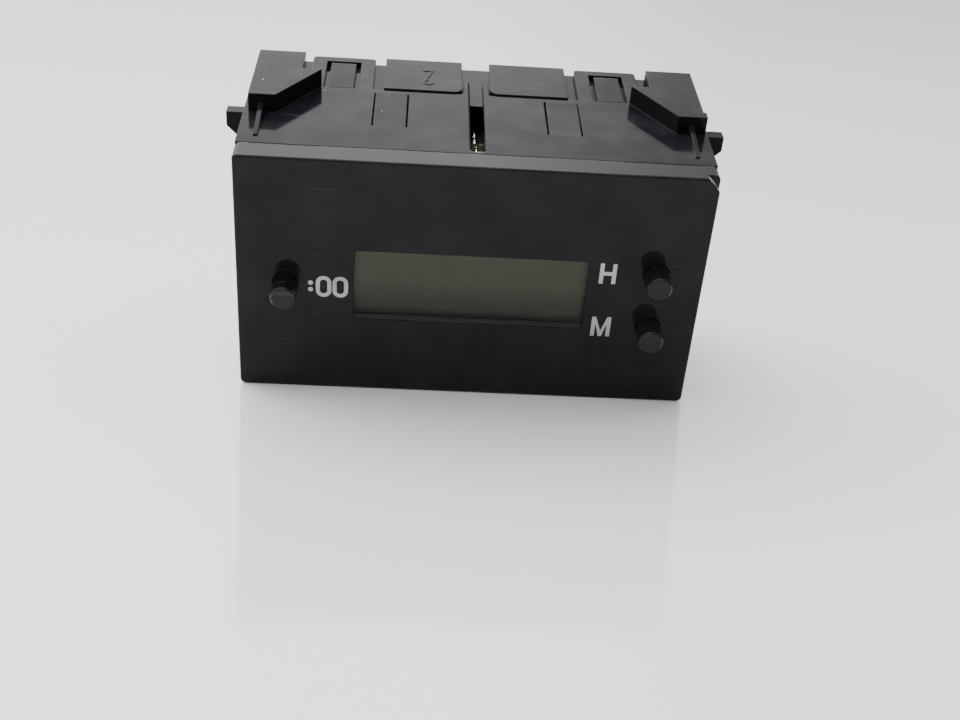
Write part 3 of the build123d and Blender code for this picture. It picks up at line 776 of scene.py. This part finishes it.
@dataclass
class Buttons:
    """The three push pins and their printed marks.

    Attributes:
        colour: Colour of the pins.
        ink: Colour of the printed marks.
    """

    colour: Colour = (0.0070, 0.0072, 0.0078)
    ink: Colour = (0.38, 0.38, 0.385)

    def dress(self) -> None:
        """Dresses the pins, the switch plungers and the marks."""
        pin = MouldedPlastic(
            "pin_plastic", self.colour, roughness=0.14, specular=0.22, grain_depth=0.000002,
            edge_radius=0.00035, edge_wear_and_highlight=0.05, dust=0.05, scuff=0.15,
        )
        ink = MouldedPlastic(
            "printed_ink", self.ink, roughness=0.45, grain_depth=0.000004, edge_radius=0.00001,
            edge_wear_and_highlight=0.0, dust=0.0, scuff=0.0, patch=0.25,
        )
        plunger = MouldedPlastic("red_plunger", (0.42, 0.05, 0.03), roughness=0.38, dust=0.05, scuff=0.05)
        switch = MouldedPlastic("switch_case", (0.02, 0.02, 0.022), roughness=0.42, dust=0.1, scuff=0.1)
        names = ("zero", "hour", "minute")
        dress_nodes(pin, *(f"button_{name}" for name in names))
        dress_nodes(plunger, *(f"switch_plunger_{name}" for name in names))
        dress_nodes(switch, *(f"switch_body_{name}" for name in names))
        dress_nodes(ink, "print_hour", "print_minute", "print_colon_zeros")


@dataclass
class Display:
    """Window lens, display glass and films, holder and contact strips.

    Attributes:
        digit_height: Height of an unlit digit.
        digit_width: Width of an unlit digit.
        bar: Width of a segment.
        slant: How far a digit leans over its height.
    """

    digit_height: float = 10.5 * MM
    digit_width: float = 5.6 * MM
    bar: float = 1.15 * MM
    slant: float = 0.9 * MM

    def dress(self) -> None:
        """Dresses every layer of the display."""
        edges = self.film_edges()
        # The film gets painted shade along its lower third.
        film = DisplayFilmWithPaintedShade("display_film_painted_shade", (0.265, 0.280, 0.250), (0.140, 0.152, 0.152), *edges)
        lens = ClearPlastic("smoked_lens", (0.72, 0.72, 0.68), roughness=0.04, index=1.26, haze=0.03)
        glass = ClearPlastic("clear_glass", (0.90, 0.95, 0.92), roughness=0.02, haze=0.02)
        milky = MouldedPlastic("milky_sheet", (0.62, 0.66, 0.62), roughness=0.5, dust=0.0, scuff=0.0)
        white = MouldedPlastic("white_holder", (0.66, 0.66, 0.63), roughness=0.42, dust=0.15, scuff=0.1)
        foam = MouldedPlastic(
            "grey_foam", (0.075, 0.078, 0.075), roughness=0.9, grain_depth=0.0001, grain_cells=2600.0,
            edge_wear_and_highlight=0.01, dust=0.05, scuff=0.0,
        )
        dress_nodes(film, "front_polariser")
        dress_nodes(lens, "window_lens")
        dress_nodes(glass, "front_glass", "rear_glass")
        dress_nodes(milky, "diffuser")
        # The rear film also gets a faint painted shade along its lower third.
        dress_nodes(DisplayFilmWithPaintedShade("rear_film_painted_shade", (0.05, 0.05, 0.045), (0.04,) * 3, *edges), "rear_polariser")
        dress_nodes(white, "display_frame")
        dress_nodes(foam, "light_seal")
        strip = BandedBody(
            "layered_rubber", (0.20, 0.19, 0.18),
            tuple((0.0012 * step, (0.03, 0.03, 0.03)) for step in range(-17, 18)), "X", 0.0,
            width=0.0006, roughness=0.6,
        )
        dress_nodes(strip, "contact_strip_lower", "contact_strip_upper")

    @staticmethod
    def film_edges() -> tuple[float, float]:
        """Heights of the lower and upper edge of the display film."""
        return low("front_polariser").z, high("front_polariser").z

    def _segment(self, along_x: bool) -> bpy.types.Object:
        """Models one segment with pointed ends at the origin, along x or else along z."""
        clear_selection()
        length = (self.digit_width if along_x else self.digit_height / 2) - 1.35 * self.bar
        size = (length, 0.02 * MM, self.bar)
        bpy.ops.mesh.primitive_cube_add(size=1, location=(0, 0, 0), scale=size)
        segment = bpy.context.active_object
        bpy.ops.object.transform_apply(scale=True)
        select_faces(segment, lambda polygon: abs(polygon.normal.x) > 0.9)
        edit(
            segment,
            lambda: bpy.ops.mesh.extrude_region_shrink_fatten(
                TRANSFORM_OT_shrink_fatten={"value": 0.45 * self.bar}),
            lambda: bpy.ops.transform.resize(value=(1, 1, 0.12)),
        )
        if not along_x:
            pick(segment)
            segment.rotation_euler = (0, math.pi / 2, 0)
            bpy.ops.object.transform_apply(rotation=True)
        return segment

    def build_segments(self) -> bpy.types.Object:
        """Models the unlit digits just in front of the film."""
        half_w, half_h = self.digit_width / 2, self.digit_height / 2
        layout = [(0, half_h, True), (0, 0, True), (0, -half_h, True)]
        layout += [(x, z, False) for x in (-half_w, half_w) for z in (-half_h / 2, half_h / 2)]
        where = centre("front_polariser")
        front = low("front_polariser").y - 0.02 * MM
        digits = [-16.0, -7.6, 4.4, 12.8]
        for_x, for_z = [], []
        for digit in digits:
            for x, z, along_x in layout:
                shift = self.slant * z / self.digit_height
                place = (where.x + digit * MM + x + shift, front, where.z + z)
                (for_x if along_x else for_z).append(place)
        parts = [copies(self._segment(True), for_x), copies(self._segment(False), for_z)]
        pick(*parts)
        bpy.ops.object.join()
        piece = settle(bpy.context.view_layer.objects.active, "unlit_digits", Body.CLOCK)
        # The unlit segments carry the same painted shade along their lower third.
        ghost = DisplayFilmWithPaintedShade("unlit_segment_painted_shade", (0.258, 0.273, 0.243), (0.137, 0.149, 0.149), *self.film_edges())
        dress(piece, ghost)
        return piece


@dataclass
class Boards:
    """Both circuit boards with their components and solder joints.

    Attributes:
        joint_radius: Foot radius of a solder joint.
        joint_height: Height of its cone.
        stub: Lead that stands out of it.
        pin: Half the width of a square pin.
        lead: Middle of a wire lead from the end of its component.
        row: Row of leads from the side of the resistors.
        contact_depth: Between the two rows of socket contacts.
        can_reach: Leads of the capacitor from its middle.
        coil_reach: Leads of the choke from its middle.
        pitch: Between the leads of the regulator.
        tab_inset: Row of those leads from its front.
        lone: Joints of their own, from the middle of the board.
    """

    joint_radius: float = 0.85 * MM
    joint_height: float = 0.55 * MM
    stub: float = 0.35 * MM
    pin: float = 0.32 * MM
    lead: float = 0.3 * MM
    row: float = 1.2 * MM
    contact_depth: float = 2.5 * MM
    can_reach: float = 2.5 * MM
    coil_reach: float = 3.0 * MM
    pitch: float = 2.54 * MM
    tab_inset: float = 1.8 * MM
    lone: tuple[tuple[float, float], ...] = ((0.5 * MM, 5.2 * MM), (0.3 * MM, -6.5 * MM))

    def dress(self) -> None:
        """Dresses the boards and everything soldered to them."""
        dress_nodes(CircuitBoard("display_board_green", (0.015, 0.075, 0.030), "Y"), "display_board")
        dress_nodes(CircuitBoard("power_board_olive", (0.016, 0.022, 0.010), "Z"), "power_board")
        for name, colour, roughness, nodes in (
            ("tinned_leads", (0.62, 0.61, 0.58), 0.26, ("chip_leads", "header_pins", "socket_contacts")),
            ("crystal_can", (0.70, 0.70, 0.68), 0.22, ("crystal",)),
            ("plated_screw", (0.60, 0.55, 0.40), 0.34, ("board_screws",)),
            ("enamelled_wire", (0.55, 0.22, 0.09), 0.3, ("choke_winding",)),
        ):
            dress_nodes(PlainMetal(name, colour, roughness), *nodes)
        resin = MouldedPlastic("black_resin", (0.018, 0.018, 0.019), roughness=0.5, dust=0.1, scuff=0.05)
        dress_nodes(resin, "clock_chip", "header_block")
        ferrite = MouldedPlastic("grey_ferrite", (0.06, 0.06, 0.065), roughness=0.62, grain_depth=0.00004)
        dress_nodes(ferrite, "choke_core")
        can = centre("smoothing_capacitor")
        sleeve = BandedBody(
            "capacitor_sleeve", (0.012, 0.016, 0.06), ((-0.0042, (0.55, 0.55, 0.5)),), "X", can.x,
            width=0.0022, roughness=0.25,
        )
        dress_nodes(sleeve, "smoothing_capacitor")
        tab = centre("voltage_regulator")
        regulator = BandedBody(
            "regulator_body", (0.02, 0.02, 0.021), ((0.0019, (0.55, 0.55, 0.54)),), "Y", tab.y,
            width=0.0016, roughness=0.35,
        )
        dress_nodes(regulator, "voltage_regulator")
        for name in ("diode_1", "diode_2"):
            diode = BandedBody(
                name + "_body", (0.02, 0.02, 0.02),
                ((0.0017, WIRE), (0.0052, WIRE), (-0.0052, WIRE)),
                "X", centre(name).x, width=0.0008,
            )
            dress_nodes(diode, name)
        rows = ((-0.0021, (0.30, 0.10, 0.03)), (-0.0009, (0.02, 0.02, 0.02)), (0.0003, (0.55, 0.08, 0.03)),
                (0.0020, (0.60, 0.42, 0.12)), (0.0048, WIRE), (-0.0048, WIRE))
        resistor = BandedBody("banded_resistor", (0.50, 0.36, 0.20), rows, "X", centre("resistors").x)
        dress_nodes(resistor, "resistors")

    def _joint(self) -> bpy.types.Object:
        """Models one solder joint, standing on the origin along z: a cone with a cut lead in it."""
        clear_selection()
        bpy.ops.mesh.primitive_cone_add(
            vertices=16, radius1=self.joint_radius, radius2=0.62 * self.joint_radius,
            depth=0.35 * self.joint_height, location=(0, 0, 0.175 * self.joint_height),
        )
        joint = bpy.context.active_object
        bpy.ops.object.transform_apply(location=True)
        select_faces(joint, lambda polygon: polygon.normal.z > 0.9)
        rise = 0.65 * self.joint_height
        edit(
            joint,
            lambda: bpy.ops.mesh.extrude_region_move(TRANSFORM_OT_translate={"value": (0, 0, rise)}),
            lambda: bpy.ops.transform.resize(value=(0.55, 0.55, 1)),
            lambda: bpy.ops.mesh.inset(thickness=0.04 * self.joint_radius),
            lambda: bpy.ops.mesh.extrude_region_move(TRANSFORM_OT_translate={"value": (0, 0, self.stub)}),
            lambda: bpy.ops.mesh.inset(thickness=0.05 * self.joint_radius, depth=0.04 * self.joint_radius),
        )
        pick(joint)
        bpy.ops.object.shade_smooth_by_angle(angle=math.radians(60))
        return joint

    def _joint_places(self) -> list[Point]:
        """Works out where leads come through the power board."""
        top = high("power_board").z
        start, end = low("header_pins"), high("header_pins")
        first, last = start.x + self.pin, end.x - self.pin
        places = [(first + (last - first) * i / 7, end.y - self.pin, top) for i in range(8)]
        start, end = low("socket_contacts"), high("socket_contacts")
        span = end.x - start.x - 2 * self.pin
        for i in range(5):
            x, y = start.x + self.pin + span * i / 4, start.y + self.pin
            places += [(x, y, top), (x, y + self.contact_depth, top)]
        for name in ("diode_1", "diode_2", "resistors"):
            start, end = low(name), high(name)
            for y in sorted({start.y + self.row, end.y - self.row}):
                places += [(start.x + self.lead, y, top), (end.x - self.lead, y, top)]
        for name, reach in (("smoothing_capacitor", self.can_reach), ("choke_core", self.coil_reach)):
            middle = centre(name)
            places += [(middle.x - reach, middle.y, top), (middle.x + reach, middle.y, top)]
        x, y = centre("voltage_regulator").x, low("voltage_regulator").y + self.tab_inset
        places += [(x + step * self.pitch, y, top) for step in (-1, 0, 1)]
        places += [(x, centre("power_board").y + y, top) for x, y in self.lone]
        return places

    def build_solder(self) -> bpy.types.Object:
        """Models the solder joints on the upper side of the power board."""
        piece = settle(copies(self._joint(), self._joint_places()), "solder_joints", Body.CLOCK)
        dress(piece, PlainMetal("bright_solder", (0.72, 0.72, 0.70), 0.16))
        return piece


@dataclass
class Lamps:
    """Backlight bulbs with their filaments, and the holders.

    Attributes:
        coil_radius: Radius of the filament's coil.
        wire: Radius of its wire.
        turns: Turns of the coil.
        pitch: Height of one turn.
    """

    coil_radius: float = 0.28 * MM
    wire: float = 0.05 * MM
    turns: int = 7
    pitch: float = 0.16 * MM

    def dress(self) -> None:
        """Dresses bulbs and holders."""
        glass = ClearPlastic(
            "tinted_bulb", (0.45, 0.80, 0.55), roughness=0.03, haze=0.04, film=(0.1, 0.3, 0.15))
        holder = MouldedPlastic("brown_holder", (0.16, 0.09, 0.04), roughness=0.45, dust=0.1, scuff=0.1)
        dress_nodes(glass, "lamp_bulb_left", "lamp_bulb_right")
        dress_nodes(holder, "lamp_holder_left", "lamp_holder_right")

    def build_filaments(self) -> bpy.types.Object:
        """Models a coiled filament inside each bulb."""
        clear_selection()
        bpy.ops.mesh.primitive_circle_add(
            vertices=6, radius=self.wire, location=(self.coil_radius, 0, 0), rotation=(math.pi / 2, 0, 0))
        coil = bpy.context.active_object
        bpy.ops.object.transform_apply(location=True, rotation=True)
        screw = coil.modifiers.new("turns", "SCREW")
        screw.steps = screw.render_steps = 12
        screw.iterations = self.turns
        screw.screw_offset = self.pitch
        bpy.ops.object.modifier_apply(modifier=screw.name)
        edit(coil, lambda: bpy.ops.mesh.select_all(action="SELECT"),
             lambda: bpy.ops.mesh.remove_doubles(threshold=1e-6),
             lambda: bpy.ops.mesh.normals_make_consistent(inside=False))
        bpy.ops.object.shade_smooth_by_angle(angle=math.radians(60))
        half = self.turns * self.pitch / 2
        turn = Matrix.Rotation(math.pi / 2, 4, "Y") @ Matrix.Translation((0, 0, -half))
        coil.data.transform(turn)
        places = [tuple(centre(f"lamp_bulb_{side}") - Vector((0, 0.8 * MM, 0))) for side in ("left", "right")]
        piece = settle(copies(coil, places), "lamp_filaments", Body.CLOCK)
        dress(piece, PlainMetal("filament_wire", (0.40, 0.40, 0.42), 0.35))
        return piece


@dataclass
class RearSocket:
    """Housing of the rear socket.

    Attributes:
        colour: Colour of its natural nylon.
    """

    colour: Colour = (0.62, 0.60, 0.52)

    def dress(self) -> None:
        """Dresses the housing."""
        nylon = MouldedPlastic(
            "natural_nylon", self.colour, roughness=0.4, grain_depth=0.000008, dust=0.15, scuff=0.2,
            patch=0.05)
        dress_nodes(nylon, "socket_housing")


# ---------------------------------------------------------------- stage, light and camera


@dataclass
class Stage:
    """Table under the leaning clock, the room's light, and the camera.

    Attributes:
        table_size: Side of the table.
        table_colour: Colour of the table.
        table_roughness: Roughness of its seal.
        room_low: Brightness of the room behind the clock at the height of the table.
        room_rise: How much brighter it is higher up.
        front_shade: How much darker the room is behind the camera.
        right_shade: How much darker it is to the right.
        camera_side: Camera to the side of the middle of the face.
        camera_ahead: Camera in front of the face.
        camera_up: Camera above the face's bottom edge.
        pitch: Degrees that it looks down.
        yaw: Degrees that it looks to the right.
        roll: Degrees that it is turned about its line of sight.
        lens: Focal length in millimetres on a sensor 36 mm wide.
    """

    table_size: float = 4.0
    table_colour: Colour = (0.80, 0.775, 0.780)
    table_roughness: float = 0.07
    room_low: float = 1.02
    room_rise: float = 3.0
    front_shade: float = 0.80
    right_shade: float = 0.62
    camera_side: float = -12.02 * MM
    camera_ahead: float = 228.1 * MM
    camera_up: float = 169.7 * MM
    pitch: float = 35.20
    yaw: float = 3.79
    roll: float = -4.71
    lens: float = 51.16
    lean: float = field(init=False)
    foot: Vector = field(init=False)

    def __post_init__(self) -> None:
        """Works out how far the clock leans, from what it stands on."""
        self.foot = Vector((0.0, low("face_cover").y, low("face_cover").z))
        lug = Vector((0.0, high("rear_cover").y, low("rear_cover").z))
        self.lean = math.atan2(self.foot.z - lug.z, lug.y - self.foot.y)
        LOG.info("the clock leans forward by %.1f degrees", math.degrees(self.lean))

    def level(self) -> Matrix:
        """Turns the table's level frame into the clock's, about the face's bottom edge."""
        return Matrix.Translation(self.foot) @ Matrix.Rotation(-self.lean, 4, "X")

    def build_table(self) -> None:
        """Models the table top as a plane that touches the face cover and the lugs."""
        clear_selection()
        bpy.ops.mesh.primitive_plane_add(size=self.table_size, location=(0, 0, 0))
        table = bpy.context.active_object
        table.name = "table_top"
        table.data.transform(self.level())
        dress(table, FloorPaint("sealed_table", self.table_colour, self.table_roughness))

    def build_light(self) -> None:
        """Adds the ceiling light, the window on the left and the room around them."""
        self._softbox("ceiling", (-0.3, 0.7, 1.3), (-0.1, -0.2, 0), (1.2, 0.9), 8.0, (1.0, 0.985, 0.98))
        self._softbox("left_window", (-1.0, 0.3, 0.7), (-0.2, -0.2, 0), (0.9, 0.8), 7.0, (1.0, 0.97, 0.965))
        self._build_room()

    def _build_room(self) -> None:
        """Adds a room that is bright behind and above the clock, darker in front and to the right."""
        world = bpy.data.worlds.new("pale_room")
        bpy.context.scene.world = world
        world.use_nodes = True
        graph = Graph(world.node_tree)
        ray = graph.add("TexCoord").outputs["Generated"]
        turn = self.level().to_3x3()
        side, rear, up = (
            graph.along(ray, tuple(turn.col[axis])) for axis in range(3)
        )
        rise = graph.math("MULTIPLY", graph.ramp(up, 0.12, 0.50), self.room_rise)
        bright = graph.math("ADD", rise, self.room_low)
        front = graph.math("MULTIPLY", graph.ramp(rear, 0.15, -0.35), graph.ramp(up, 0.95, 0.55))
        right = graph.ramp(side, 0.04, 0.22)
        for shade, amount in ((front, self.front_shade), (right, self.right_shade)):
            kept = graph.math("SUBTRACT", 1.0, graph.math("MULTIPLY", shade, amount))
            bright = graph.math("MULTIPLY", bright, kept)
        background = world.node_tree.nodes["Background"]
        background.inputs["Color"].default_value = (1.0, 0.985, 0.985, 1.0)
        world.node_tree.links.new(bright, background.inputs["Strength"])

    def _softbox(self, name: str, place: Point, aim: Point, size: tuple[float, float], power: float,
                 colour: Colour) -> None:
        """Adds one area light of a width, height, power in watts and colour, in the table's level frame."""
        data = bpy.data.lights.new(name, "AREA")
        data.shape = "RECTANGLE"
        data.size, data.size_y = size
        data.energy = power
        data.color = colour
        light = bpy.data.objects.new(name, data)
        bpy.context.scene.collection.objects.link(light)
        level = self.level()
        start, end = level @ Vector(place), level @ Vector(aim)
        turn = (end - start).to_track_quat("-Z", "Y")
        light.matrix_world = Matrix.Translation(start) @ turn.to_matrix().to_4x4()

    def build_camera(self) -> None:
        """Adds the camera from its place, pitch, yaw and roll."""
        pitch, yaw, roll = (math.radians(value) for value in (self.pitch, self.yaw, self.roll))
        ahead = Vector((math.sin(yaw) * math.cos(pitch), math.cos(yaw) * math.cos(pitch), -math.sin(pitch)))
        right = ahead.cross(Vector((0, 0, 1))).normalized()
        down = ahead.cross(right)
        turned_right = math.cos(roll) * right + math.sin(roll) * down
        turned_down = math.cos(roll) * down - math.sin(roll) * right
        place = Vector((self.camera_side, self.foot.y - self.camera_ahead, self.foot.z + self.camera_up))
        data = bpy.data.cameras.new("camera")
        data.lens = self.lens
        data.sensor_width = 36.0
        camera = bpy.data.objects.new("camera", data)
        bpy.context.scene.collection.objects.link(camera)
        axes = Matrix((turned_right, -turned_down, -ahead)).transposed()
        camera.matrix_world = Matrix.Translation(place) @ axes.to_4x4()
        bpy.context.scene.camera = camera


def main() -> None:
    """Builds and dresses the clock, then its stage."""
    stage = Stage()
    stage.build_camera()
    stage.build_table()
    stage.build_light()
    housing = Housing()
    housing.dress()
    housing.build_ejector_marks()
    Buttons().dress()
    display = Display()
    display.dress()
    display.build_segments()
    boards = Boards()
    boards.dress()
    boards.build_solder()
    lamps = Lamps()
    lamps.dress()
    lamps.build_filaments()
    RearSocket().dress()


if __name__ == "__main__":
    main()
